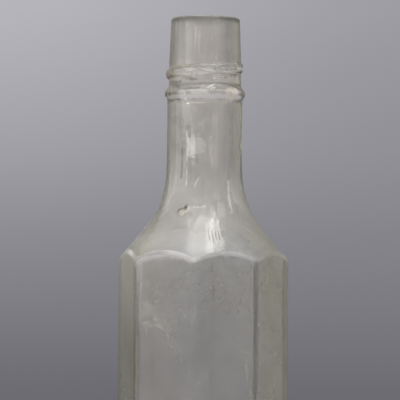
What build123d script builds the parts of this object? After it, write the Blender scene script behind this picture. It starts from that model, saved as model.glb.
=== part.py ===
from build123d import *
import os
from math import cos, pi, sin

# An empty antique sauce bottle of clear glass: an eight-sided body blown in a mould, a
# conical shoulder that starts in an arch over each panel, a round neck, and a tall
# tooled mouth band with a screw-thread ridge and a collar below it.
#
# Frame: +Z up, the origin at the middle of the footprint on the table. Four of the
# eight body panels face +X, -X, +Y and -Y. Millimetres.

# Body
height = 228.0
across_flats = 57.0
across_corners = across_flats / cos(pi / 8)
corner_rounding = 2.2
arch_rounding = 0.9
heel_rounding = 3.0

# Heights where one zone of the glass gives way to the next
base_top = 7.6
body_top = 137.0
shoulder_top = 182.0
neck_top = 203.9

# Shoulder: a cone that meets the body's corners, and one smooth curve up to the neck
cone_slope = 0.838
cone_meets_corners_z = 140.75
arch_low_z = 139.0
arch_high_z = 146.0
flare_bottom_z = 150.0
flare_pull_at_neck = 14.5
flare_pull_at_cone = 11.25

# Neck and mouth band
neck_radius = 13.5
band_radius = 13.0
band_straight_top_z = 212.0
rim_radius = 12.42
rim_rounding = 1.0

# Inside
panel_wall = 3.2
cavity_corner_rounding = 12.0
cavity_heel_rounding = 5.0
cavity_floor_z = 3.4
shoulder_wall_across = 4.2
inner_flare_top_z = 180.0
neck_bore_radius = 9.05
neck_bore_top_z = 199.0
mouth_bore_radius = 7.7
mouth_bore_length = 15.5
mouth_rounding = 0.8

# Base: a shallow dome pressed up from below
push_up_radius = 21.0
push_up_height = 3.5
push_up_ball_radius = (push_up_radius**2 + push_up_height**2) / (2 * push_up_height)
base_thickness = 4.0

# Collar
collar_low_z = 198.0
collar_nose_radius = 14.5
collar_nose_z = 200.6
collar_nose_half_height = 0.8
collar_nose_depth = 0.25

# Screw-thread ridge: one right-hand turn that dies away where the mould closed
thread_pitch = 4.35
thread_start_z = 206.6
thread_start_angle = 74.0
thread_crest_radius = 14.05
thread_width = 4.0
thread_root_depth = 0.6
thread_run_out = 12.6

# How far a cutting shape reaches past the glass
past = 5.0


def on_outline(radius, z):
    """A point of a turned outline, from its radius and its height."""
    return Vector(radius, 0, z)


def turned(edges):
    """The solid that a closed outline sweeps once round the Z axis."""
    return revolve(make_face(edges), Axis.Z)


def octagon_prism(flats, rounding, low_z, high_z):
    """An eight-sided column whose upright edges are rounded."""
    section = RegularPolygon(flats / 2, 8, major_radius=False, rotation=22.5)
    section = fillet(section.vertices(), rounding)
    return Pos(0, 0, low_z) * extrude(section, high_z - low_z)


def cone_radius(z):
    """Radius of the shoulder's outer cone at a height."""
    return across_corners / 2 + (cone_meets_corners_z - z) * cone_slope


def flare(top_radius, top_z, bottom_radius):
    """The curve from an upright wall down to the slope of the shoulder's cone."""
    above_cone = flare_bottom_z + flare_pull_at_cone
    return Bezier(
        on_outline(top_radius, top_z),
        on_outline(top_radius, top_z - flare_pull_at_neck),
        on_outline(bottom_radius - flare_pull_at_cone * cone_slope, above_cone),
        on_outline(bottom_radius, flare_bottom_z),
    )


def outer_turned_shape():
    """Everything inside the outer surface that is round: mouth, neck and shoulder."""
    rim_shoulder = height - rim_rounding
    rim_inner = rim_radius - rim_rounding
    bend = rim_rounding * (1 - sin(pi / 4))
    cone_bottom = -past
    edges = [
        Line(on_outline(0, cone_bottom), on_outline(0, height)),
        Line(on_outline(0, height), on_outline(rim_inner, height)),
        ThreePointArc(
            on_outline(rim_inner, height),
            on_outline(rim_radius - bend, height - bend),
            on_outline(rim_radius, rim_shoulder),
        ),
        Line(on_outline(rim_radius, rim_shoulder), on_outline(band_radius, band_straight_top_z)),
        Line(on_outline(band_radius, band_straight_top_z), on_outline(band_radius, neck_top)),
        Line(on_outline(band_radius, neck_top), on_outline(neck_radius, collar_low_z)),
        Line(on_outline(neck_radius, collar_low_z), on_outline(neck_radius, shoulder_top)),
        flare(neck_radius, shoulder_top, cone_radius(flare_bottom_z)),
        Line(
            on_outline(cone_radius(flare_bottom_z), flare_bottom_z),
            on_outline(cone_radius(cone_bottom), cone_bottom),
        ),
        Line(on_outline(cone_radius(cone_bottom), cone_bottom), on_outline(0, cone_bottom)),
    ]
    return turned(edges)


def outer_shape():
    """The whole bottle as if it were solid, without its collar and thread.

    The prism and the cone meet in an arch over each panel, which is rounded after."""
    column = octagon_prism(across_flats, corner_rounding, 0, height)
    heel = column.faces().sort_by(Axis.Z)[0].edges()
    column = fillet(heel, heel_rounding)
    bottle = column & outer_turned_shape()
    arches = [edge for edge in bottle.edges() if arch_low_z < edge.center().Z < arch_high_z]
    return fillet(arches, arch_rounding)


def dome(ball_radius):
    """A ball about the centre that the push-up and the floor inside share."""
    return Pos(0, 0, push_up_height - push_up_ball_radius) * Sphere(ball_radius)


def push_up():
    """The hollow pressed up under the base."""
    return dome(push_up_ball_radius)


def bore():
    """The round passage from above the mouth to below the shoulder."""
    bore_low_z = height - mouth_bore_length
    mouth_top = mouth_bore_radius + mouth_rounding
    bend = mouth_rounding * (1 - sin(pi / 4))
    inner_cone_radius = cone_radius(flare_bottom_z) - shoulder_wall_across
    cone_bottom = -past
    cone_bottom_radius = cone_radius(cone_bottom) - shoulder_wall_across
    edges = [
        Line(on_outline(0, cone_bottom), on_outline(0, height + past)),
        Line(on_outline(0, height + past), on_outline(mouth_top, height + past)),
        Line(on_outline(mouth_top, height + past), on_outline(mouth_top, height)),
        ThreePointArc(
            on_outline(mouth_top, height),
            on_outline(mouth_bore_radius + bend, height - bend),
            on_outline(mouth_bore_radius, height - mouth_rounding),
        ),
        Line(
            on_outline(mouth_bore_radius, height - mouth_rounding),
            on_outline(mouth_bore_radius, bore_low_z),
        ),
        Line(
            on_outline(mouth_bore_radius, bore_low_z),
            on_outline(neck_bore_radius, neck_bore_top_z),
        ),
        Line(
            on_outline(neck_bore_radius, neck_bore_top_z),
            on_outline(neck_bore_radius, inner_flare_top_z),
        ),
        flare(neck_bore_radius, inner_flare_top_z, inner_cone_radius),
        Line(
            on_outline(inner_cone_radius, flare_bottom_z),
            on_outline(cone_bottom_radius, cone_bottom),
        ),
        Line(on_outline(cone_bottom_radius, cone_bottom), on_outline(0, cone_bottom)),
    ]
    return turned(edges)


def cavity():
    """The space inside the bottle, open at the mouth."""
    flats = across_flats - 2 * panel_wall
    column = octagon_prism(flats, cavity_corner_rounding, cavity_floor_z, height + past)
    floor_edges = column.faces().sort_by(Axis.Z)[0].edges()
    column = fillet(floor_edges, cavity_heel_rounding)
    return (column - dome(push_up_ball_radius + base_thickness)) & bore()


def between(low_z, high_z):
    """A block as wide as the bottle, for cutting out one zone of it."""
    block = Box(2 * across_flats, 2 * across_flats, high_z - low_z)
    return Pos(0, 0, (low_z + high_z) / 2) * block


def collar(solid_bottle):
    """The ring below the thread: a sloping top, a rounded nose and an undercut foot."""
    core = neck_radius / 2
    nose_root = collar_nose_radius - collar_nose_depth
    nose_low = on_outline(nose_root, collar_nose_z - collar_nose_half_height)
    nose_tip = on_outline(collar_nose_radius, collar_nose_z)
    nose_high = on_outline(nose_root, collar_nose_z + collar_nose_half_height)
    edges = [
        Line(on_outline(core, collar_low_z), on_outline(neck_radius, collar_low_z)),
        Line(on_outline(neck_radius, collar_low_z), nose_low),
        ThreePointArc(nose_low, nose_tip, nose_high),
        Line(nose_high, on_outline(band_radius, neck_top)),
        Line(on_outline(band_radius, neck_top), on_outline(core, neck_top)),
        Line(on_outline(core, neck_top), on_outline(core, collar_low_z)),
    ]
    return turned(edges) - solid_bottle


def thread(solid_bottle):
    """One turn of a rounded ridge, faded out at both ends by a flat against the band."""
    root_radius = band_radius - thread_root_depth
    coil = Helix(thread_pitch, thread_pitch, root_radius, center=(0, 0, thread_start_z))
    edges = [
        Line(
            on_outline(root_radius, thread_start_z - thread_width / 2),
            on_outline(root_radius, thread_start_z + thread_width / 2),
        ),
        ThreePointArc(
            on_outline(root_radius, thread_start_z + thread_width / 2),
            on_outline(thread_crest_radius, thread_start_z),
            on_outline(root_radius, thread_start_z - thread_width / 2),
        ),
    ]
    ridge = sweep(make_face(edges), coil, is_frenet=True)
    reach = 4 * band_radius
    keep = Pos(thread_run_out - reach / 2, 0, thread_start_z) * Box(reach, reach, reach)
    ridge = Rot(0, 0, thread_start_angle) * (ridge & keep)
    return ridge - solid_bottle


def whole_solid(shape):
    """The one solid of a shape, or the largest if a cut left crumbs beside it."""
    return max(shape.solids(), key=lambda solid: solid.volume)


def build():
    """Every zone of the bottle, by name."""
    solid_bottle = outer_shape()
    glass = solid_bottle - cavity() - push_up()
    return {
        "base": glass & between(-past, base_top),
        "body": glass & between(base_top, body_top),
        "shoulder": glass & between(body_top, shoulder_top),
        "neck": glass & between(shoulder_top, neck_top),
        "mouth_band": glass & between(neck_top, height + past),
        "collar": collar(solid_bottle),
        "thread": thread(solid_bottle),
    }


os.makedirs("parts", exist_ok=True)
for name, shape in build().items():
    export_step(whole_solid(shape), f"parts/{name}.step")
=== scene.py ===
# %% [markdown]
# # An antique eight-sided glass bottle
# The bottle was blown into a two-part mould and its mouth was finished by hand. It is one
# wall of clear glass, so almost everything that the eye reads is light bent by that wall.
# The lesson builds the wall as one closed mesh, gives it real thickness, and leaves most
# dark lines and bright edges to refraction. Dirt, film and wear are laid on with masks, and
# so are some painted shade and painted highlights.

# %% Load the frame
import math

import bmesh
import bpy
import numpy as np
from mathutils import Matrix, Vector


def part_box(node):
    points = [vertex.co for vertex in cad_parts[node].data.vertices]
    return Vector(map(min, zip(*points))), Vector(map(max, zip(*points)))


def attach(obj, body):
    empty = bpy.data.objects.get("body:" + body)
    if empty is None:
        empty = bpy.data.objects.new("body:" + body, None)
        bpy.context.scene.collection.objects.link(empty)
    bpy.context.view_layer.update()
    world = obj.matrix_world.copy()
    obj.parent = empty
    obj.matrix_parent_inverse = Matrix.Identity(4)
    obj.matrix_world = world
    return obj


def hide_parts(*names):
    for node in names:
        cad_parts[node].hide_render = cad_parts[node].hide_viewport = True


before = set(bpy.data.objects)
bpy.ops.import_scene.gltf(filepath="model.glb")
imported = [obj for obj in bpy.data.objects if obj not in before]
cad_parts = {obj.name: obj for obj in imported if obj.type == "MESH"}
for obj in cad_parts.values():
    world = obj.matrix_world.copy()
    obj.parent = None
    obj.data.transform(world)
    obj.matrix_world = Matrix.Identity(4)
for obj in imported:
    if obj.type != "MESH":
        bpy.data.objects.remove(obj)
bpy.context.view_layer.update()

scene = bpy.context.scene

# %% [markdown]
# ## Sizes
# A maker works in millimetres and Blender works in metres, so one factor joins the two.
# The heights and widths that the frame knows are read from its named pieces, which keeps
# the looks locked to the design. The rest are small shapes that only the glass has.

# %% Read the sizes of the bottle
MM = 0.001


def span(node):
    """Lowest and highest corner of one piece of the frame, in millimetres."""
    low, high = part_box(node)
    return np.array(low) / MM, np.array(high) / MM


height = span("mouth_band")[1][2]
neck_top = span("mouth_band")[0][2]
across_flats = span("body")[1][0] - span("body")[0][0]
neck_radius = span("neck")[1][0]
collar_radius = span("collar")[1][0]
collar_low = span("collar")[0][2]
shoulder_top = span("shoulder")[1][2]
half_flats = across_flats / 2
half_panel = math.radians(22.5)
print(f"height {height:.1f}, across flats {across_flats:.1f}, neck radius {neck_radius:.2f} mm")

# %% [markdown]
# ## Columns round the bottle
# A lathe spin would give evenly spaced columns, but the body has eight panels with narrow
# rounded corners. So each panel gets its own columns: close together at the corner, where
# the surface turns quickly, and at the middle, where the mould joint runs up two panels.

# %% Place the columns
corner_rounding = 2.2
half_offsets = np.concatenate([
    np.linspace(0, 1.6, 4)[:-1],
    np.linspace(1.6, 19.6, 10)[:-1],
    np.linspace(19.6, 22.5, 5),
])
panel_offsets = np.concatenate([-half_offsets[:0:-1], half_offsets[:-1]])
turn = np.radians(np.concatenate([45 * panel + panel_offsets for panel in range(8)]))
offset = np.radians(np.tile(panel_offsets, 8))
columns = len(turn)
print("columns:", columns)


def octagon_radius(flat_half, rounding):
    """Distance from the axis to a round-cornered octagon, in every column."""
    tangent = (flat_half - rounding) * math.tan(half_panel)
    on_flat = np.abs(offset) <= math.atan2(tangent, flat_half)
    centre = (flat_half - rounding) / math.cos(half_panel)
    from_corner = half_panel - np.abs(offset)
    inside = np.maximum(rounding**2 - (centre * np.sin(from_corner)) ** 2, 0)
    return np.where(on_flat, flat_half / np.cos(offset), centre * np.cos(from_corner) + np.sqrt(inside))


# %% [markdown]
# ## One profile, from the foot to the floor inside
# Cut the bottle down its axis and the glass shows as a single band: up the outside, over
# the rim, down the bore and across the floor. Each stretch of that band is a small
# function of how far along it a row lies, and it may differ from column to column, because
# a panel's middle and its corner meet the shoulder at different heights. Rows that follow
# the arches keep those edges crisp with few faces.

# %% Make tools for drawing the profile
rows = []


def add_row(radius, z):
    """One ring of points, as a radius and a height in every column."""
    rows.append((np.broadcast_to(radius, columns).astype(float), np.broadcast_to(z, columns).astype(float)))


def straight(start, end, steps, first=0):
    """Rows along a straight stretch between two (radius, height) pairs."""
    for step in range(first, steps + 1):
        t = step / steps
        add_row(start[0] + (end[0] - start[0]) * t, start[1] + (end[1] - start[1]) * t)


def curved(points, steps, first=1):
    """Rows along a cubic Bezier stretch through four (radius, height) pairs."""
    for step in range(first, steps + 1):
        t = step / steps
        weights = ((1 - t) ** 3, 3 * (1 - t) ** 2 * t, 3 * (1 - t) * t**2, t**3)
        add_row(
            sum(w * p[0] for w, p in zip(weights, points)),
            sum(w * p[1] for w, p in zip(weights, points)),
        )


def eased(start, corner, end, steps):
    """Rows round a corner: a Bezier whose pull is that of a quarter circle."""
    pull = 0.55
    near_start = (start[0] + (corner[0] - start[0]) * pull, start[1] + (corner[1] - start[1]) * pull)
    near_end = (end[0] + (corner[0] - end[0]) * pull, end[1] + (corner[1] - end[1]) * pull)
    curved([start, near_start, near_end, end], steps)


print("rows can run straight, curved or eased round a corner")

# %% [markdown]
# ## The outside
# From the push-up under the base the profile runs over the resting ring, round the heel,
# up a panel, over the arch and up the cone of the shoulder, which a single smooth curve
# turns into the neck.

# %% Draw the outside, from the base to the neck
push_up_radius = 21.0
push_up_height = 3.5
push_up_ball = (push_up_radius**2 + push_up_height**2) / (2 * push_up_height)
heel = 3.0
cone_slope = 0.838
arch_rounding = 1.3
wall_radius = octagon_radius(half_flats, corner_rounding)
cone_start_z = 140.75
cone_start_radius = half_flats / math.cos(half_panel)
flare_bottom = 150.0
flare_neck_pull = 14.5
flare_cone_pull = 11.25


def cone_radius(z):
    """Radius of the shoulder's outer cone."""
    return cone_start_radius + (cone_start_z - z) * cone_slope


def dome_height(radius, ball, lift=0.0):
    """Height of the push-up dome, or of the floor above it, at a radius."""
    return push_up_height - push_up_ball + np.sqrt(ball**2 - radius**2) + lift


for step in range(10):
    ring = push_up_radius * (step + 0.02) / 10
    add_row(ring, dome_height(ring, push_up_ball))
straight((push_up_radius, 0.0), (wall_radius - heel, 0.0), 3)
eased((wall_radius - heel, 0.0), (wall_radius, 0.0), (wall_radius, heel), 6)

arch_z = cone_start_z + (cone_start_radius - wall_radius) / cone_slope
slant = math.hypot(1, cone_slope)
below_arch = (wall_radius, arch_z - arch_rounding)
above_arch = (wall_radius - arch_rounding * cone_slope / slant, arch_z + arch_rounding / slant)
straight((wall_radius, heel), below_arch, 50, first=1)
eased(below_arch, (wall_radius, arch_z), above_arch, 6)
straight(above_arch, (cone_radius(flare_bottom), flare_bottom), 13, first=1)
curved(
    [
        (cone_radius(flare_bottom), flare_bottom),
        (cone_radius(flare_bottom) - flare_cone_pull * cone_slope, flare_bottom + flare_cone_pull),
        (neck_radius, shoulder_top - flare_neck_pull),
        (neck_radius, shoulder_top),
    ],
    30,
)
straight((neck_radius, shoulder_top), (neck_radius, collar_low), 9, first=1)
print("rows up to the collar:", len(rows))

# %% [markdown]
# ## Collar, mouth band and rim
# The collar has a sloping top, a rounded nose and an undercut foot. The band above it
# narrows a little to the rim. Its lower part gets many close rows, because the thread
# ridge is raised out of them afterwards.

# %% Draw the collar, the mouth band and the rim
band_radius = 13.0
band_straight_top = 212.0
rim_radius = 12.42
rim_rounding = 1.0
mouth_radius = 7.7
mouth_rounding = 0.8
thread_zone_top = 213.6
nose_z = 200.6

nose_low = (collar_radius - 0.15, nose_z - 0.7)
nose_tip = (collar_radius + 0.08, nose_z)
nose_high = (collar_radius - 0.2, nose_z + 0.7)
curved([(neck_radius, collar_low), (neck_radius + 0.05, collar_low + 0.5),
        (collar_radius - 0.5, nose_z - 1.6), nose_low], 8)
eased(nose_low, nose_tip, nose_high, 5)
curved([nose_high, (collar_radius - 0.7, nose_z + 1.5),
        (band_radius + 0.1, neck_top - 0.8), (band_radius, neck_top)], 8)


def band_at(z):
    """Radius of the mouth band at a height: upright below, tapering above."""
    taper = (z - band_straight_top) / (height - rim_rounding - band_straight_top)
    return band_radius - (band_radius - rim_radius) * max(taper, 0)


straight((band_radius, neck_top), (band_radius, band_straight_top), 40, first=1)
straight((band_radius, band_straight_top), (band_at(thread_zone_top), thread_zone_top), 8, first=1)
straight((band_at(thread_zone_top), thread_zone_top), (rim_radius, height - rim_rounding), 12, first=1)
eased((rim_radius, height - rim_rounding), (rim_radius, height), (rim_radius - rim_rounding, height), 6)
straight((rim_radius - rim_rounding, height), (mouth_radius + mouth_rounding, height), 3, first=1)
outside_rows = len(rows)
print("rows on the outside:", outside_rows)

# %% [markdown]
# ## The inside
# Blown glass is never hollow to an even thickness. The bore narrows under the mouth band,
# where the tool pressed the glass together, and the eight panels soften inside to a shape
# nearly round, so the glass is thickest in the corners and at the heel.

# %% Draw the inside, from the mouth to the floor
mouth_bore_low = 212.5
neck_bore_top = 199.0
neck_bore_radius = 9.05
inner_flare_top = 180.0
panel_wall = 3.2
shoulder_wall_across = 3.1
inner_heel = 6.0
floor_thickness = 4.0
inner_wall = octagon_radius(half_flats - panel_wall, 3.0)
inner_cone_radius = cone_radius(flare_bottom) - shoulder_wall_across
inner_arch_z = flare_bottom - (inner_wall - inner_cone_radius) / cone_slope
inner_arch_rounding = 2.0

below_mouth = (mouth_radius, height - mouth_rounding)
eased((mouth_radius + mouth_rounding, height), (mouth_radius, height), below_mouth, 5)
straight(below_mouth, (mouth_radius, mouth_bore_low), 11, first=1)
curved([(mouth_radius, mouth_bore_low), (mouth_radius, mouth_bore_low - 5),
        (neck_bore_radius, neck_bore_top + 5), (neck_bore_radius, neck_bore_top)], 10)
straight((neck_bore_radius, neck_bore_top), (neck_bore_radius, inner_flare_top), 9, first=1)
curved(
    [
        (neck_bore_radius, inner_flare_top),
        (neck_bore_radius, inner_flare_top - flare_neck_pull),
        (inner_cone_radius - flare_cone_pull * cone_slope, flare_bottom + flare_cone_pull),
        (inner_cone_radius, flare_bottom),
    ],
    24,
)
inner_above = (
    inner_wall - inner_arch_rounding * cone_slope / slant,
    inner_arch_z + inner_arch_rounding / slant,
)
inner_below = (inner_wall, inner_arch_z - inner_arch_rounding)
straight((inner_cone_radius, flare_bottom), inner_above, 8, first=1)
eased(inner_above, (inner_wall, inner_arch_z), inner_below, 8)
floor_edge_radius = inner_wall - inner_heel
floor_edge_z = dome_height(floor_edge_radius, push_up_ball + floor_thickness)
above_heel = (inner_wall, floor_edge_z + inner_heel)
straight(inner_below, above_heel, 44, first=1)
eased(above_heel, (inner_wall, floor_edge_z), (floor_edge_radius, floor_edge_z), 8)
for step in range(1, 10):
    ring = floor_edge_radius * (1 - (step - 0.02) / 9)
    add_row(ring, dome_height(ring, push_up_ball + floor_thickness))
print("rows in all:", len(rows))

# %% [markdown]
# ## The marks of the mould and the hand
# A perfect profile looks like plastic. The real wall has slow waves, flatter on the
# outside where it touched iron, stronger inside where only air pressed it. The thread is
# a ridge that climbs one turn to the right and fades where the mould closed. All of it
# moves points along the wall's own normal, so the profile stays readable.

# %% Work out the normals of the profile
radius_grid = np.array([row[0] for row in rows])
z_grid = np.array([row[1] for row in rows])
along_r = np.gradient(radius_grid, axis=0)
along_z = np.gradient(z_grid, axis=0)
length = np.maximum(np.hypot(along_r, along_z), 1e-9)
normal_r = along_z / length
normal_z = -along_r / length
row_number = np.arange(len(rows))[:, None]
is_inside = row_number >= outside_rows
turn_grid = np.broadcast_to(turn, radius_grid.shape)
print("points in the grid:", radius_grid.size)

# %% [markdown]
# Slow waves are sums of a few sines with whole numbers of turns, so they close on
# themselves round the bottle. Their phases come from a seeded generator.

# %% Raise the waves
chance = np.random.default_rng(18)


def waves(amount, turns, pitches, count):
    """Slow unevenness that closes round the bottle, in millimetres."""
    total = np.zeros_like(radius_grid)
    for _ in range(count):
        around = chance.integers(turns[0], turns[1] + 1)
        pitch = chance.uniform(*pitches)
        phase = chance.uniform(0, 2 * math.pi)
        total += np.sin(around * turn_grid + 2 * math.pi * z_grid / pitch + phase)
    return amount * total / math.sqrt(count)


def smooth(low, high, value):
    """0 below low, 1 above high, and a smooth step between."""
    t = np.clip((value - low) / (high - low), 0, 1)
    return t * t * (3 - 2 * t)


def angle_from(degrees):
    """How far each column lies from a direction, in degrees from -180 to 180."""
    return (np.degrees(turn_grid) - degrees + 180) % 360 - 180


off_base = smooth(4, 16, z_grid)
off_rim = 1 - smooth(height - 5, height - 1, z_grid)
outside_waves = waves(0.035, (1, 6), (35, 120), 7) + waves(0.012, (4, 14), (9, 30), 7)
inside_waves = waves(0.20, (1, 5), (40, 130), 7) + waves(0.05, (4, 12), (12, 35), 8)
in_neck = smooth(160, 185, z_grid)
raised = np.where(is_inside, inside_waves * (1 - 0.65 * in_neck), outside_waves * (1 - 0.75 * in_neck))
raised = raised * off_base * off_rim
print(f"waves up to {raised.max():.2f} mm")

# %% [markdown]
# The ridge of the thread rises out of the band for one turn. It steps up a little where the
# two halves of the mould met, and it is worn lower on the right. A thin line stands up along
# the joint itself.

# %% Raise the thread and the mould joints
joint_angle = -90.0
thread_pitch = 4.35
thread_start_z = 206.6
thread_start_angle = 74.0
thread_height = 1.05
thread_half_width = 1.8
turned_by = (np.degrees(turn_grid) - thread_start_angle) % 360
past_joint = smooth(-1.5, 1.5, angle_from(joint_angle)) * (angle_from(joint_angle) < 90)
thread_z = thread_start_z + thread_pitch * turned_by / 360 + 0.25 * past_joint
from_crest = np.abs(z_grid - thread_z) / thread_half_width
thread_fade = smooth(8, 30, turned_by) * (1 - smooth(330, 352, turned_by))
thread_shape = np.sqrt(np.clip(1 - np.minimum(from_crest, 1) ** 2.2, 0, 1))
thread_lumps = 1 + 0.07 * np.sin(3 * turn_grid + 1) + 0.05 * np.sin(7 * turn_grid)
thread_worn = 1 - 0.30 * smooth(228, 262, turned_by)
raised += np.where(is_inside, 0, thread_height * thread_shape * thread_fade * thread_lumps * thread_worn)

joint_half_width = 1.1
joint_height = 0.10
joint_line = np.exp(-((angle_from(joint_angle) / joint_half_width) ** 2))
joint_line = joint_line + np.exp(-((angle_from(joint_angle + 180) / joint_half_width) ** 2))
joint_zone = smooth(150, 158, z_grid) * (1 - smooth(height - 3, height - 1, z_grid))
raised += np.where(is_inside, 0, joint_height * joint_line * joint_zone)
print(f"thread and joints up to {raised.max():.2f} mm")

# %% [markdown]
# Cords are streaks of glass that did not quite melt in. Three stand up on the neck and one
# is a shallow crease.

# %% Raise the cords and move the wall
def cord(low_end, high_end, half_width, height_raised):
    """A raised streak of glass between two (degrees, z) ends on the outside."""
    z_share = np.clip((z_grid - low_end[1]) / (high_end[1] - low_end[1]), 0, 1)
    middle = low_end[0] + (high_end[0] - low_end[0]) * z_share
    across = np.radians(angle_from(middle)) * radius_grid
    beyond = np.maximum(low_end[1] - z_grid, 0) + np.maximum(z_grid - high_end[1], 0)
    return np.where(is_inside, 0, height_raised * np.exp(-((across / half_width) ** 2) - (beyond / 1.2) ** 2))


raised += cord((-131.5, 166.5), (-132.5, 187), 0.5, 0.20)
raised += cord((-121.5, 165.8), (-114, 170.4), 0.5, 0.20)
raised += cord((-141.5, 171), (-140, 180), 0.5, -0.16)
raised += cord((-72, 172), (-71, 189), 0.6, 0.12)

radius_grid = radius_grid + raised * normal_r
z_grid = z_grid + raised * normal_z
print(f"raised from {raised.min():.2f} to {raised.max():.2f} mm")

# %% [markdown]
# ## The vessel
# The grid becomes one closed mesh: quads between the rows, and a fan at each pole, under
# the push-up and on the floor inside. Every face carries a number that says whether it is
# on the inside, because the inside gets another film than the outside.

# %% Build the vessel
def grid_mesh(name):
    """The closed wall as a mesh, outside first, with its inside faces marked as such."""
    x = radius_grid * np.cos(turn_grid) * MM
    y = radius_grid * np.sin(turn_grid) * MM
    points = np.stack([x, y, z_grid * MM], axis=2).reshape(-1, 3)
    made = bmesh.new()
    inside = made.faces.layers.float.new("inside")
    vertices = [made.verts.new(point) for point in points]
    count = len(rows)
    for row in range(count - 1):
        for column in range(columns):
            after = (column + 1) % columns
            face = made.faces.new((
                vertices[row * columns + column],
                vertices[row * columns + after],
                vertices[(row + 1) * columns + after],
                vertices[(row + 1) * columns + column],
            ))
            face[inside] = float(row >= outside_rows)
    for row in (0, count - 1):
        ring = vertices[row * columns:(row + 1) * columns]
        middle = made.verts.new(sum((v.co for v in ring), Vector()) / columns)
        for column in range(columns):
            pair = (ring[column], ring[(column + 1) % columns])
            face = made.faces.new((middle, *pair) if row else (middle, *reversed(pair)))
            face[inside] = float(row > 0)
    bmesh.ops.recalc_face_normals(made, faces=made.faces)
    mesh = bpy.data.meshes.new(name)
    made.to_mesh(mesh)
    made.free()
    return mesh


vessel = bpy.data.objects.new("vessel", grid_mesh("vessel"))
scene.collection.objects.link(vessel)
vessel.data.shade_smooth()
print("vessel faces:", len(vessel.data.polygons))

# %% [markdown]
# ## Seed bubbles
# Old glass holds gas bubbles, called seeds, drawn long in the neck. A bubble is a hole in
# the glass, so it is a small closed shell that faces the other way, inside the wall.
# Joining the shells to the vessel keeps one solid with voids, as it is in the real wall.

# %% Blow the bubbles
rows_to_heel = 21
rows_on_floor = 12
seed_count = 46


def wall_at(angle, z):
    """Outer and inner radius of the wall at a direction and a height, in millimetres."""
    column = int(np.argmin(np.abs((turn - angle + math.pi) % (2 * math.pi) - math.pi)))
    outer_rows = np.arange(rows_to_heel, outside_rows)
    inner_rows = np.arange(outside_rows, len(rows) - rows_on_floor)
    outer = np.interp(z, z_grid[outer_rows, column], radius_grid[outer_rows, column])
    inner = np.interp(-z, -z_grid[inner_rows, column], radius_grid[inner_rows, column])
    return outer, inner


def add_bubble(made, degrees, z, depth, half_sizes, detail):
    """One void: half_sizes run through the wall, around it and up it."""
    angle = math.radians(degrees)
    outer, inner = wall_at(angle, z)
    middle = outer + (inner - outer) * depth
    place = Matrix.Rotation(angle, 4, "Z") @ Matrix.Translation((middle * MM, 0, z * MM))
    shape = Matrix.Diagonal((*[size * MM for size in half_sizes], 1))
    ball = bmesh.ops.create_icosphere(made, subdivisions=detail, radius=1, matrix=place @ shape)
    faces = {face for vertex in ball["verts"] for face in vertex.link_faces}
    bmesh.ops.reverse_faces(made, faces=list(faces))


bubbles = bmesh.new()
bubbles.from_mesh(vessel.data)
add_bubble(bubbles, -133.0, 157.8, 0.35, (0.6, 1.9, 1.5), 3)
add_bubble(bubbles, -128.5, 160.0, 0.25, (0.45, 0.6, 0.6), 2)
add_bubble(bubbles, -100.5, 137.8, 0.4, (0.5, 0.55, 0.6), 2)
add_bubble(bubbles, -112.0, 137.4, 0.3, (0.4, 0.5, 0.5), 2)
for _ in range(seed_count):
    seed_z = chance.uniform(14, 205)
    size = chance.uniform(0.10, 0.32)
    stretch = 2.6 if seed_z > 165 else 1.3
    add_bubble(
        bubbles, chance.uniform(0, 360), seed_z, chance.uniform(0.3, 0.7),
        (size * 0.8, size, size * stretch), 1,
    )
bubbles.to_mesh(vessel.data)
bubbles.free()
vessel.data.shade_smooth()
print("vessel with bubbles, faces:", len(vessel.data.polygons))

# %% [markdown]
# ## Shader arithmetic
# Masks read best as sums, so one small class wraps a socket and lets Python's operators
# add the Math nodes.

# %% Wrap a socket
class Signal:
    """A number that changes over the surface, used in plain arithmetic."""

    def __init__(self, finish, socket):
        self.finish = finish
        self.socket = socket

    def maths(self, operation, *values):
        """One Math node over the given values."""
        node = self.finish.add("ShaderNodeMath", {"operation": operation}, dict(enumerate(values)))
        return Signal(self.finish, node.outputs[0])

    def __add__(self, other):
        return self.maths("ADD", self, other)

    __radd__ = __add__

    def __sub__(self, other):
        return self.maths("SUBTRACT", self, other)

    def __rsub__(self, other):
        return self.maths("SUBTRACT", other, self)

    def __mul__(self, other):
        return self.maths("MULTIPLY", self, other)

    __rmul__ = __mul__

    def __truediv__(self, other):
        return self.maths("DIVIDE", self, other)

    def __pow__(self, other):
        return self.maths("POWER", self, other)

    def __mod__(self, other):
        return self.maths("MODULO", self, other)

    def __abs__(self):
        return self.maths("ABSOLUTE", self)

    def between(self, low, high):
        """0 below low, 1 above high, smooth between; low may be the larger."""
        node = self.finish.add(
            "ShaderNodeMapRange",
            {"interpolation_type": "SMOOTHSTEP"},
            {"Value": self, "From Min": low, "From Max": high},
        )
        return Signal(self.finish, node.outputs["Result"])

    def window(self, low, low_full, high_full, high):
        """0 outside low and high, 1 from low_full to high_full, smooth between."""
        return self.between(low, low_full) * self.between(high, high_full)


print("sums of signals become Math nodes")

# %% [markdown]
# A second class holds a finish while its nodes are added. Any node comes from its type, its
# settings and its sockets, so a finish reads as a list of what was done to the glass.

# %% Wrap a node tree
def set_stops(ramp, stops):
    """Gives a colour ramp its stops, each a position and a colour."""
    while len(ramp.elements) > 1:
        ramp.elements.remove(ramp.elements[-1])
    ramp.elements[0].position, ramp.elements[0].color = stops[0]
    for position, colour in stops[1:]:
        ramp.elements.new(position).color = colour


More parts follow.
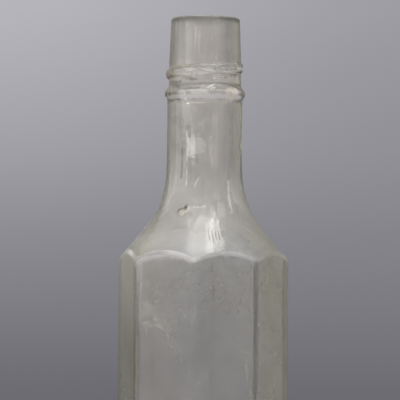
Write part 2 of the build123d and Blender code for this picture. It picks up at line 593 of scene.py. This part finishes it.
class Finish:
    """A material, or the world's light, while its nodes are being added."""

    def __init__(self, owner, output="ShaderNodeOutputMaterial"):
        owner.use_nodes = True
        self.owner = owner
        self.tree = owner.node_tree
        self.tree.nodes.clear()
        self.output = self.add(output)

    def add(self, kind, settings=None, sockets=None):
        """One node, from its type, its settings and the values or links of its sockets."""
        node = self.tree.nodes.new(kind)
        for name, value in (settings or {}).items():
            if name == "stops":
                set_stops(node.color_ramp, value)
            else:
                setattr(node, name, value)
        for name, value in (sockets or {}).items():
            if isinstance(value, Signal):
                self.tree.links.new(value.socket, node.inputs[name])
            elif isinstance(value, bpy.types.NodeSocket):
                self.tree.links.new(value, node.inputs[name])
            else:
                node.inputs[name].default_value = value
        return node

    def wire(self, node, socket="Surface"):
        """Wires a finished shader to the output."""
        self.tree.links.new(node.outputs[0], self.output.inputs[socket])

    def parts(self, vector):
        """The X, Y and Z of a vector as signals."""
        node = self.add("ShaderNodeSeparateXYZ", None, {0: vector})
        return [Signal(self, output) for output in node.outputs]

    def measured(self, operation, first, second):
        """A number made from two vectors, such as a distance, as a signal."""
        node = self.add("ShaderNodeVectorMath", {"operation": operation}, {0: first, 1: second})
        return Signal(self, node.outputs["Value"])

    def noise(self, vector, scale, detail=4.0, roughness=0.55, distortion=0.0):
        """Cloudy noise, about 0.5 in the mean; scale is in repeats to the metre."""
        node = self.add(
            "ShaderNodeTexNoise",
            {"noise_dimensions": "3D"},
            {"Vector": vector, "Scale": scale, "Detail": detail, "Roughness": roughness,
             "Distortion": distortion},
        )
        return Signal(self, node.outputs[0])

    def stretched(self, vector, factors):
        """The same point with its axes scaled, for streaks."""
        node = self.add("ShaderNodeVectorMath", {"operation": "MULTIPLY"}, {0: vector, 1: factors})
        return node.outputs["Vector"]

    def mixed(self, factor, first, second):
        """A colour between two, by a signal."""
        node = self.add(
            "ShaderNodeMix", {"data_type": "RGBA"}, {"Factor": factor, "A": first, "B": second}
        )
        return node.outputs["Result"]


print("a finish adds any node by its type")

# %% [markdown]
# ## One glass for both sides
# Transmission with the index of soda-lime glass does most of the work. The tint is an even
# absorption inside the glass, so it deepens by itself where the wall is thick. Blender
# starts the absorption where light enters a material and ends it where light leaves that
# same material. A second material on the inside would leave the light tinted for the rest
# of its way, so both sides share one, and the mark on the inside faces parts their looks.

# %% Start the glass
glass_index = 1.51
tint = (0.955, 0.93, 0.80, 1)
tint_density = 60.0
clear_tone = (0.982, 0.972, 0.945, 1)
edge_tone = (0.58, 0.61, 0.45, 1)

glass = Finish(bpy.data.materials.new("worn_clear_glass"))
absorption = glass.add("ShaderNodeVolumeAbsorption", None, {"Color": tint, "Density": tint_density})
glass.wire(absorption, "Volume")


def clear_glass(colour, roughness, bump_height, bump_distance):
    """A transmitting surface with a given colour, roughness and relief."""
    relief = glass.add(
        "ShaderNodeBump", None,
        {"Strength": 1.0, "Distance": bump_distance, "Height": bump_height},
    )
    return glass.add(
        "ShaderNodeBsdfPrincipled", None,
        {
            "Base Color": colour,
            "Roughness": roughness,
            "IOR": glass_index,
            "Transmission Weight": 1.0,
            "Normal": relief.outputs["Normal"],
        },
    )


print("index of the glass:", glass_index)

# %% [markdown]
# Every mark is placed on the bottle itself: by its direction round the axis in degrees, by
# its height, and by how far the surface faces up. So a mark stays where it is from all sides.

# %% Find the place of every point
point = glass.add("ShaderNodeTexCoord").outputs["Object"]
x, y, z = [part / MM for part in glass.parts(point)]
radius = (x * x + y * y) ** 0.5
around = y.maths("ARCTAN2", y, x) * (180 / math.pi)
lift = glass.parts(glass.add("ShaderNodeNewGeometry").outputs["Normal"])[2]
faces_up = lift.between(0.10, 0.75)
front_degrees = -106
front_corner_degrees = -112.5


def off_direction(degrees):
    """How far a point lies from one direction round the axis, from 0 to 180 degrees."""
    return abs((around + (540 - degrees)) % 360 - 180)


off_front_corner = off_direction(front_corner_degrees)
off_any_corner = abs((around + 360) % 45 - 22.5)
print("the front is at", front_degrees, "degrees, its corner at", front_corner_degrees)

# %% [markdown]
# ### Wear on the outside
# Handling has left rubs and tiny scratches: a low bump, and patches that are a little less
# smooth. What faces up has been rubbed the most. Clear glass also looks greener where the eye
# meets it at a flat angle, because the light then runs a long way inside. Layer Weight gives
# that look to the glass.

# %% Wear the outside
rubbed = glass.noise(point, 55, 5).between(0.52, 0.72)
scratches = glass.noise(glass.stretched(point, (1.0, 1.0, 0.12)), 900, 2).between(0.66, 0.72)
rubbed_side = off_direction(-165).between(53, 35) * faces_up
outer_roughness = 0.03 + rubbed * 0.05 + scratches * 0.06 + 0.09 * faces_up + 0.08 * rubbed_side
outer_relief = glass.noise(point, 140, 3) * 0.6 + glass.noise(point, 45, 2)
turned_away = Signal(glass, glass.add("ShaderNodeLayerWeight", None, {"Blend": 0.5}).outputs["Facing"])
outer_tone = glass.mixed(turned_away.between(0.2, 0.9), clear_tone, edge_tone)
outer_glass = clear_glass(outer_tone, outer_roughness, outer_relief, 0.07 * MM)
print("rubs, scratches and slow waves on the outside")

# %% [markdown]
# ## Film and dust
# No old bottle is clean. A thin pale film scatters the light that falls on it, so the
# glass looks a little lighter than what stands behind it. Blender can mix that film over
# the glass with a mask, which keeps both honest: where the mask is 0 the glass is clear,
# and where it is 1 only dust shows. The film has a broad, dull shine of its own.

# %% Mix a film over the glass
warm_dust = (0.84, 0.80, 0.75, 1)
cool_dust = (0.76, 0.79, 0.81, 1)
film_roughness = 0.42
film_index = 1.5


def with_film(clear, mask, colour):
    """Dust over clear glass by a mask, as one surface; outside it also carries painted light."""
    dust = glass.add(
        "ShaderNodeBsdfPrincipled", None,
        {"Base Color": colour, "Roughness": film_roughness, "IOR": film_index},
    )
    return glass.add("ShaderNodeMixShader", None, {0: mask, 1: clear.outputs[0], 2: dust.outputs[0]})


drift = glass.noise(point, 34, 3, 0.5).between(0.30, 0.70)
to_front = y.between(-14, -27)
dust_tone = glass.mixed(drift * 0.4 + to_front * 0.6, warm_dust, cool_dust)
print("the dust drifts from", warm_dust[:3], "to", cool_dust[:3])

# %% [markdown]
# ### Film on the outside
# The eye looks through more of a thin film where it meets it at a flat angle, so there the
# film is denser and its dust turns to a dull brown, as on a real bottle's rim and sides.
# Nearer the outline, and sooner on faces turned up, the dust turns to grime colour: painted
# shade for the dark edges of the glass.

# %% Lay the film on the outside
side_tone = (0.61, 0.60, 0.48, 1)
# Dark colour for real dirt in creases and corners, and for painted shade elsewhere.
grime_and_shade = (0.20, 0.20, 0.15, 1)
outer_clouds = glass.noise(point, 62, 6, 0.62, 0.5).between(0.35, 0.7)
outer_specks = glass.noise(point, 520, 3, 0.6)
outer_film_and_painted_light = (0.12 + 0.05 * outer_clouds) * (0.88 + 0.24 * outer_specks)
outer_film_and_painted_light = outer_film_and_painted_light + 0.27 * turned_away.between(0.2, 0.75)
below_arches = z.window(105, 140, 142, 146)
outer_dust_and_painted_light = glass.mixed(turned_away.between(0.2, 0.6), dust_tone, side_tone)
# Painted shade: the dust darkens to grime colour near the outline, less below the arches, and sooner on faces
# turned up.
outer_dust_and_painted_light = glass.mixed(turned_away.between(0.50, 0.90) * (1 - 0.7 * below_arches), outer_dust_and_painted_light, grime_and_shade)
outer_dust_and_painted_light = glass.mixed(turned_away.between(0.25, 0.65) * faces_up * 0.45, outer_dust_and_painted_light, grime_and_shade)
print("film on the outside, grime at its edges:", grime_and_shade[:3])

# %% [markdown]
# ### Two kinds of marks
# A mark is either a ragged patch about a point or a thin line between two ends. Noise breaks
# the edge of a patch, so that no two look alike.

# %% Draw patches and thin lines
def away_from(centre):
    """The distance to a point, both in millimetres."""
    return glass.measured("DISTANCE", point, tuple(value * MM for value in centre)) / MM


def patch(centre, reach, ragged=0.6, grain=420):
    """A ragged patch about a point of the surface, in millimetres."""
    edge = (glass.noise(point, grain, 4, 0.6) - 0.5) * (2 * ragged * reach)
    return (away_from(centre) + edge).between(reach, 0.55 * reach)


def thin_line(low_end, high_end, half_width):
    """A thin mark between two (degrees, z) ends; half_width is in degrees."""
    lean = (high_end[0] - low_end[0]) / (high_end[1] - low_end[1])
    off_line = abs(around - low_end[0] - (z - low_end[1]) * lean)
    fade = 0.6
    ends = z.window(low_end[1] - fade, low_end[1] + fade, high_end[1] - fade, high_end[1] + fade)
    return off_line.between(half_width, 0.3 * half_width) * ends


def thin_lines(*lines):
    """Several thin marks, each with its weight, its two ends and its half width."""
    return sum(weight * thin_line(low_end, high_end, width) for weight, low_end, high_end, width in lines)


print("marks are patches and thin lines")

# %% [markdown]
# ### Neck and shoulder
# Raised streaks on the neck caught pale dust, and a crease on the left caught dark. Four short
# dark strokes on the shoulder are painted shade in the gaps of a rippled highlight. An
# opened blister shows a pale skin beside its dark mouth.

# %% Mark the neck and the shoulder
cream = (0.93, 0.87, 0.74, 1)
pitch_black = (0.03, 0.03, 0.02, 1)
pale_lines = thin_lines(
    (1.3, (-132.3, 166.0), (-133.0, 187.0), 2.4),
    (1.0, (-121.5, 165.8), (-114.0, 170.4), 2.2),
    (1.0, (-72.0, 157.5), (-68.0, 169.5), 4.0),
)
pale_lines = pale_lines * (0.4 + 0.6 * glass.noise(point, 240, 3, 0.6).between(0.40, 0.58))
neck_creases = thin_lines(
    (1.0, (-142.2, 169.5), (-141.8, 180.5), 3.2),
    (0.5, (-59.0, 172.0), (-58.0, 196.0), 2.6),
)
# Painted shade: four short dark strokes in the gaps of the shoulder's rippled highlight.
ripple_shade_strokes = thin_lines(
    (1.2, (-101.0, 148.0), (-101.5, 152.0), 0.9),
    (1.2, (-98.0, 147.5), (-98.3, 151.5), 0.9),
    (1.2, (-95.3, 148.0), (-95.6, 151.5), 0.9),
    (1.2, (-92.8, 148.0), (-93.0, 151.0), 0.9),
)
blister_skin = patch((-11.9, -13.0, 157.4), 1.7, 1.0, 700)
blister_skin = blister_skin + patch((-9.4, -13.8, 159.0), 1.2, 1.0, 900) * 0.6
blister_mouth = patch((-10.3, -12.8, 159.4), 0.85, 0.8, 1200)
# Painted shade: grime colour darkens the left of the neck, the left of the flare and the right of the cone.
left_shade = off_direction(-170).between(31, 11) * z.between(165, 185)
flare_shade = off_direction(-148).between(24, 10) * z.window(149, 154, 159, 163.5)
right_cone_shade = around.window(-84, -66, -10, 10) * z.window(142, 146, 160, 168)
# Painted reflection: more film on the lower left of the cone brightens it like a soft reflected light.
low_cone_glow = off_direction(-128).between(45, 18) * z.between(154, 147) * faces_up
band_film = around.window(-118, -96, -82, -70) * z.between(164, 174)
print("marks on the neck and the shoulder, blister at height", 159.4)

# %% [markdown]
# ### Corners and arches
# The arch edges carry a pale film: wear where hands and other bottles touched, and a painted
# highlight. Dirt stays along the upright corners of the body and makes them read as dark
# lines. A pale line high on the left corner, pale film under the left arches and more film on
# the left panel seen at a slant are painted light.

# %% Mark the corners and the arches
corner_grime = off_any_corner.between(1.4, 0.6) * off_front_corner.between(50, 60) * z.between(142.5, 139.5)
left_corner = thin_line((-157.6, 60), (-157.6, 138), 2.8) * (0.8 + 0.8 * z.between(125, 100))
corner_grime = corner_grime + left_corner + thin_lines(
    (1.0, (-69.4, 60), (-69.4, 141), 2.6),
    (0.6, (-26.5, 60), (-26.5, 138), 4.0),
)
# Painted highlight: a pale line high on the left corner.
corner_highlight = thin_line((-153.8, 118), (-154.2, 140), 3.2) * z.between(118, 138)
# Pale film along the arch edges: a painted highlight, and wear.
arch_highlight_and_scuff = lift.window(0.12, 0.30, 0.54, 0.66) * z.window(138, 139.5, 148, 150)
arch_highlight_and_scuff = arch_highlight_and_scuff * (0.2 + 0.8 * off_direction(-122).between(70, 42))
arch_highlight_and_scuff = arch_highlight_and_scuff * (0.35 + 0.65 * glass.noise(point, 75, 4, 0.6).between(0.38, 0.62))
arch_gap = cone_start_z + (cone_start_radius - radius) / cone_slope - z
# Painted light: pale film under the left arches.
below_left_arch_glow = arch_gap.between(3, 1) + 0.45 * arch_gap.between(13, 3)
below_left_arch_glow = below_left_arch_glow * around.window(-160, -154, -142, -118)
below_left_arch_glow = below_left_arch_glow * lift.between(0.30, 0.12) * z.between(145, 142.5)
# Painted light: extra film on the left panel seen at a slant.
narrow_left_light = off_direction(-178).between(21, 14) * z.window(104, 126, 142, 145)
print("scuffs on the arches, grime on the corners")

# %% [markdown]
# ### Thread and collar
# Pale film along the crest of the thread and four nearly white strokes on it are painted
# highlights. A chalky deposit lies in a ring round the collar, thickest at the front, with a
# cream patch to the right and a dark shadow on the slope above it. Rust stains the left of
# the thread. The rim's top gets a thin dark film, a painted shade.

# %% Mark the thread, the collar and the rim
chalk = (0.92, 0.90, 0.84, 1)
dull_residue = (0.60, 0.59, 0.47, 1)
rust_tone = (0.52, 0.34, 0.26, 1)
shadow_tone = (0.16, 0.11, 0.08, 1)
thread_turn = (around - thread_start_angle + 360) % 360
off_crest = abs(z - thread_start_z - thread_turn * (thread_pitch / 360) + 0.2)
# Painted highlight: pale film along the crest of the thread.
thread_crest_highlight = off_crest.between(0.8, 0.2) * glass.noise(point, 260, 3, 0.6).between(0.36, 0.6)
thread_crest_highlight = thread_crest_highlight * thread_turn.window(142, 160, 320, 345)
# Painted highlights: four nearly white strokes on the thread.
thread_glints = thin_lines(
    (1.0, (-124.0, 206.9), (-110.0, 207.8), 11.0),
    (1.0, (-88.0, 207.6), (-106.0, 208.6), 11.0),
    (1.0, (-60.0, 208.1), (-38.0, 208.6), 8.0),
    (1.0, (-42.0, 207.2), (-28.0, 207.6), 7.0),
)
streaky = glass.noise(glass.stretched(point, (1.0, 1.0, 3.6)), 190, 4, 0.62)
collar_dirt = z.window(197.2, 198.4, 200.8, 201.8) * (0.40 + 0.60 * streaky.between(0.42, 0.58))
collar_dirt = collar_dirt * (0.12 + 0.88 * off_direction(-98).between(60, 42))
collar_ring = z.window(198.2, 198.7, 199.3, 199.8)
collar_dirt = collar_dirt + 1.5 * collar_ring * (0.2 + 0.8 * off_direction(front_degrees).between(78, 52))
collar_top = z.window(203.2, 203.6, 204.0, 204.4)
collar_strokes = thin_lines(
    (1.0, (-100.6, 202.4), (-91.4, 203.4), 5.0),
    (1.0, (-136.0, 197.6), (-136.0, 200.2), 3.0),
)
collar_shadow = thin_line((-20, 201.0), (-70, 203.6), 9)
collar_shadow = collar_shadow + patch((-14.4, 1.5, 200.8), 1.6) + patch((13.5, -5.0, 200.2), 2.0)
cap_dirt = patch((6.3, -12.9, 200.4), 3.7, 0.7) * 0.8
thread_residue = patch((-11.1, -7.8, 208.3), 4.2, 0.9) * (0.4 + 0.6 * streaky.between(0.42, 0.60))
rust = patch((-13.6, 0.6, 206.0), 6.5, 0.9) * 0.5
left_shade = left_shade * (1 - 1.8 * rust)
# Painted shade: a dark film on the rim's top.
rim_shade = z.between(225.5, 227.0)
print("marks on the thread, the collar and the rim")

# %% [markdown]
# ### The outside, put together
# Each mark tones the dust, in the order given, and thickens the film by its own amount. Most
# marks are dirt and wear; the shades and highlights among them are painted light.

# %% Put the outside together
# Pale colour for dust, wear and painted highlights.
pale_dust_and_highlight = (0.93, 0.92, 0.89, 1)
dark_lines = neck_creases + ripple_shade_strokes + corner_grime * 0.8
pale_marks = pale_lines + arch_highlight_and_scuff + below_left_arch_glow + thread_crest_highlight
pale_marks = pale_marks + thread_glints + collar_strokes + corner_highlight
dust_and_painted_light_marks = [
    (collar_dirt, chalk),
    (cap_dirt + blister_skin, cream),
    (thread_residue, dull_residue),
    (rust, rust_tone),
    (collar_shadow, shadow_tone),
    (blister_mouth, pitch_black),
    # painted shade on the rim
    (rim_shade, grime_and_shade),
    # painted shade on the neck, the flare and the cone
    (left_shade * 0.45 + right_cone_shade * 0.45 + flare_shade * 0.5, grime_and_shade),
    (pale_marks, pale_dust_and_highlight),
    (dark_lines + collar_top * 0.7, grime_and_shade),
]
for mask, tone in dust_and_painted_light_marks:
    outer_dust_and_painted_light = glass.mixed(mask, outer_dust_and_painted_light, tone)

outer_film_and_painted_light = outer_film_and_painted_light + 0.10 * narrow_left_light + 0.08 * band_film + 0.05 * low_cone_glow
# Painted shade: the rim's film is thinned and laid dark.
outer_film_and_painted_light = outer_film_and_painted_light * (1 - 0.6 * rim_shade) + 0.22 * rim_shade
film_marks = [
    (0.56, collar_dirt), (0.40, cap_dirt), (0.25, rust), (0.40, blister_skin),
    (0.75, collar_shadow), (0.20, thread_residue), (0.50, collar_strokes), (0.90, thread_glints),
    (0.80, blister_mouth), (0.26, pale_lines), (0.35, dark_lines), (0.14, corner_highlight),
    (0.30, arch_highlight_and_scuff), (0.17, below_left_arch_glow), (0.45, thread_crest_highlight), (0.25, collar_top),
]
for amount, mask in film_marks:
    outer_film_and_painted_light = outer_film_and_painted_light + amount * mask
outer_surface = with_film(outer_glass, outer_film_and_painted_light, outer_dust_and_painted_light)
print("marks in the dust:", len(dust_and_painted_light_marks), "and in the film:", len(film_marks))

# %% [markdown]
# ### Film on the inside
# Old contents have etched and filmed the inside: clouds at two scales with a few runs,
# strong in the body and thin in the neck. Dirt has settled in the corners at the sides.

# %% Lay the film on the inside
clouds = glass.noise(point, 48, 6, 0.62, 0.6)
specks = glass.noise(point, 420, 3, 0.6)
runs = glass.noise(glass.stretched(point, (1.0, 1.0, 0.22)), 120, 4)
in_body = z.between(176, 140)
body_film = 0.050 + 0.140 * z.between(98, 144) + 0.14 * clouds.between(0.35, 0.72)
body_film = body_film + 0.04 * runs.between(0.5, 0.7)
inner_film = (0.08 + in_body * body_film) * (0.84 + 0.32 * specks)
corner_dirt = off_any_corner.between(1.6, 0.5) * off_front_corner.window(60, 80, 100, 120)
corner_dirt = corner_dirt * z.between(144, 141)
print("film on the inside, thin above height", 176)

# %% [markdown]
# ### Dried runs and crusts
# What was left in the bottle dried in a few streaks down the two front panels and in small
# crusty spots. They break up along the way, so noise cuts them.

# %% Dry the runs and the crusts
left_tangent = (math.sqrt(0.5), -math.sqrt(0.5), 0)
front_tangent = (1, 0, 0)
run_half_width = 1.5


def dried_run(tangent, start, end):
    """A dried streak down one panel, between two (across, z) ends in millimetres."""
    across = glass.measured("DOT_PRODUCT", point, tangent) / MM
    lean = (end[0] - start[0]) / (end[1] - start[1])
    wobble = (glass.noise(point, 160, 3) - 0.5) * 4
    off_line = abs(across - start[0] - (z - start[1]) * lean + wobble)
    ends = z.window(end[1] - 3, end[1] + 2, start[1] - 3, start[1] + 2)
    broken = glass.noise(point, 300, 3).between(0.40, 0.56)
    return off_line.between(run_half_width, 0.2 * run_half_width) * ends * broken


def crust(centre, reach):
    """A patch of small crusty spots about a point, both in millimetres."""
    near = away_from(centre).between(reach, 0.3 * reach)
    return near * glass.noise(point, 620, 4, 0.65).between(0.52, 0.66)


facing_front = y.between(0, -10)
pale_run = dried_run(left_tangent, (-3.3, 119.5), (12.4, 97))
yellow_run = dried_run(front_tangent, (7.6, 110), (11.0, 89)) * facing_front
spots = crust((-11.5, -24.3, 100.5), 6) + crust((-17.9, -17.9, 113), 8) * 0.4
spots = spots + crust((9, -25, 103), 4) * 0.5
inner_film = inner_film + (pale_run * 0.13 + spots * 0.16) * facing_front
inner_film = inner_film + yellow_run * 0.22 + corner_dirt * 0.5
inner_dust = glass.mixed(yellow_run, dust_tone, cream)
inner_dust = glass.mixed(corner_dirt, inner_dust, grime_and_shade)
inner_relief = glass.noise(point, 110, 4) + 0.5 * glass.noise(point, 30, 2)
inner_glass = clear_glass(clear_tone, 0.02 + 0.06 * clouds, inner_relief, 0.30 * MM)
inner_surface = with_film(inner_glass, inner_film, inner_dust)
print("two dried runs, half width", run_half_width, "mm")

# %% [markdown]
# ### Both sides in one material
# The mark on the inside faces picks the look: 0 outside and in the bubbles, 1 inside.

# %% Put the glass on the vessel
inside = glass.add("ShaderNodeAttribute", {"attribute_name": "inside"}).outputs["Fac"]
both_sides = glass.add(
    "ShaderNodeMixShader", None,
    {0: inside, 1: outer_surface.outputs[0], 2: inner_surface.outputs[0]},
)
glass.wire(both_sides)
vessel.data.materials.append(glass.owner)
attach(vessel, "root")
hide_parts("base", "body", "shoulder", "neck", "mouth_band", "collar", "thread")
print("materials on the vessel:", [material.name for material in vessel.data.materials])

# %% [markdown]
# ## Backdrop
# A grey backdrop that fades from light above to dark below shows clear glass best: every
# bend in the wall picks a different grey. It is the world's own colour by height. It also
# leans a little, lighter on the left, dims at the sides high up and behind the camera, and
# glows at the ceiling, so that reflections in the wall stay calm.

# %% Light the world
def linear(level):
    """A display level from 0 to 255 as a linear value."""
    share = level / 255
    return share / 12.92 if share <= 0.04045 else ((share + 0.055) / 1.055) ** 2.4


def grey(level):
    """The backdrop's cool grey at a display level."""
    return (linear(level), linear(level - 1), linear(level + 5), 1)


view_turn = math.radians(-16.0)
toward_camera = Vector((math.sin(view_turn), -math.cos(view_turn), 0))
to_the_right = Vector((math.cos(view_turn), math.sin(view_turn), 0))

backdrop = bpy.data.worlds.new("studio")
scene.world = backdrop
sky = Finish(backdrop, "ShaderNodeOutputWorld")
direction = sky.add("ShaderNodeTexCoord").outputs["Generated"]
rise = sky.measured("DOT_PRODUCT", direction, (0, 0, 1))
leftward = sky.measured("DOT_PRODUCT", direction, tuple(-to_the_right))
forward = sky.measured("DOT_PRODUCT", direction, tuple(toward_camera))
fade = sky.add(
    "ShaderNodeValToRGB",
    {"stops": [
        (0.00, grey(70)), (0.25, grey(92)), (0.42, grey(104)), (0.46, grey(107)),
        (0.50, grey(136)), (0.52, grey(151)), (0.555, grey(168)), (0.62, grey(176)), (1.0, grey(180)),
    ]},
    {"Fac": rise * 0.5 + 0.5},
)
above_horizon = rise.between(-0.09, 0.11)
lean = 1.03 + ((leftward * 10).between(-1.2, 1.2) * 0.34 - 0.17) * above_horizon
ceiling = rise.between(0.25, 0.75) * 0.5
sides = leftward.between(0.25, 0.8) * 0.16 + leftward.between(-0.25, -0.8) * 0.14
sides = sides * rise.between(0.5, 0.2)
behind_camera = forward.between(0.60, 0.90) * rise.between(0.35, 0.15) * 0.35
strength = lean + ceiling - sides - behind_camera
glow = sky.add("ShaderNodeBackground", None, {"Color": fade.outputs["Color"], "Strength": strength})
sky.wire(glow)
print(f"backdrop light: {linear(70):.3f} at the foot, {linear(180):.3f} overhead")

# %% [markdown]
# ## Floor
# The floor is a pale disc whose edge fades to nothing, so no hard line crosses the backdrop.

# %% Lay the floor
floor_radius = 0.95
floor_solid_radius = 0.3
floor_tone = (0.42, 0.42, 0.44, 1)
floor_mesh = bpy.data.meshes.new("floor")
disc = bmesh.new()
bmesh.ops.create_circle(disc, cap_ends=True, segments=96, radius=floor_radius)
disc.to_mesh(floor_mesh)
disc.free()
floor = bpy.data.objects.new("floor", floor_mesh)
scene.collection.objects.link(floor)
pale = Finish(bpy.data.materials.new("pale_floor"))
floor_x, floor_y, _ = pale.parts(pale.add("ShaderNodeTexCoord").outputs["Object"])
from_middle = (floor_x * floor_x + floor_y * floor_y) ** 0.5
floor_shows = from_middle.between(floor_radius, floor_solid_radius)
paint = pale.add(
    "ShaderNodeBsdfPrincipled", None,
    {"Base Color": floor_tone, "Roughness": 0.6, "Alpha": floor_shows},
)
pale.wire(paint)
floor_mesh.materials.append(pale.owner)
print("floor radius:", floor_radius)

# %% [markdown]
# ## Lights
# Every light is a softbox that is told how bright it should look, so its size can change
# without its reflection getting brighter or darker. Its place is given as seen from the
# bottle: degrees to the right of the camera, degrees up, and how far away.

# %% Make softboxes
lamp_tone = (1.0, 0.98, 0.95)
shoulder_middle = Vector((0, 0, 0.155))
neck_middle = Vector((0, 0, 0.183))


def studio_point(height_above, degrees_right, rise_degrees, distance):
    """A point seen from the bottle: degrees right of the camera, up, and away."""
    right, up = math.radians(degrees_right), math.radians(rise_degrees)
    level = toward_camera * math.cos(right) + to_the_right * math.sin(right)
    away = level * math.cos(up) + Vector((0, 0, math.sin(up)))
    return Vector((0, 0, height_above)) + away * distance


def softbox(name, degrees_right, rise_degrees, distance, size, radiance, target=shoulder_middle):
    """A softbox around the bottle, its power worked out from how bright it should look."""
    lamp = bpy.data.lights.new(name, "AREA")
    lamp.shape = "RECTANGLE"
    lamp.size, lamp.size_y = size
    lamp.energy = radiance * math.pi * size[0] * size[1]
    lamp.color = lamp_tone
    place = studio_point(target[2], degrees_right, rise_degrees, distance)
    hung = bpy.data.objects.new(name, lamp)
    scene.collection.objects.link(hung)
    hung.location = place
    hung.rotation_euler = (target - place).to_track_quat("-Z", "Y").to_euler()


print("softboxes aim at heights", shoulder_middle.z, "and", neck_middle.z)

# %% [markdown]
# Two softboxes hang overhead and light the shoulder. A panel in front, with brighter edges,
# draws the window-like patch on the cone. A large box on the left and a soft fill in front
# light the film. Three flat strips, one beside the other, draw the upright highlight on the
# neck, bright on its left and fading to the right.

# %% Hang the lights
softbox("overhead_softbox", -70, 84, 0.84, (0.80, 0.34), 3.1)
softbox("overhead_core", 75, 76.7, 0.80, (0.56, 0.20), 4.2)
softbox("front_panel_light", -20, 61, 0.86, (0.44, 0.30), 0.8)
softbox("panel_left_edge", -54, 60, 0.84, (0.030, 0.32), 6.0)
softbox("panel_right_edge", 33, 57, 0.84, (0.045, 0.28), 4.5)
softbox("panel_top_edge", -16, 50, 0.84, (0.40, 0.022), 6.0)
softbox("left_softbox", -72, 14, 0.95, (0.90, 0.36), 1.0)
softbox("front_fill", 25, 28, 1.10, (0.90, 0.50), 0.75)
softbox("right_card", 55, 48, 0.90, (0.26, 0.26), 2.0)
softbox("neck_strip_bright", -52, 2.2, 1.0, (0.17, 0.032), 8.0, neck_middle)
softbox("neck_strip_middle", -38, 2.2, 1.0, (0.34, 0.030), 4.2, neck_middle)
softbox("neck_strip_dim", -18, 2.2, 1.0, (0.76, 0.028), 2.8, neck_middle)
print("lights:", len(bpy.data.lights))

# %% [markdown]
# ## Camera
# A long lens a good arm's length away, a little above the shoulder, looking slightly up
# at the mouth.

# %% Set up the camera
camera_distance = 0.721
eye_height = 0.151
aim_height = 0.1624
aim_left = 0.0014
camera_roll = math.radians(0.55)
camera_data = bpy.data.cameras.new("camera")
camera_data.lens = 180
camera_data.sensor_width = 36
camera_data.clip_start = 0.01
camera = bpy.data.objects.new("camera", camera_data)
scene.collection.objects.link(camera)
camera.location = toward_camera * camera_distance + Vector((0, 0, eye_height))
aim = Vector((0, 0, aim_height)) - to_the_right * aim_left
aim_turn = (aim - camera.location).to_track_quat("-Z", "Y").to_matrix()
camera.rotation_euler = (aim_turn @ Matrix.Rotation(camera_roll, 3, "Z")).to_euler()
scene.camera = camera
scene.view_settings.view_transform = "Standard"
print("camera at", tuple(round(part, 3) for part in camera.location))
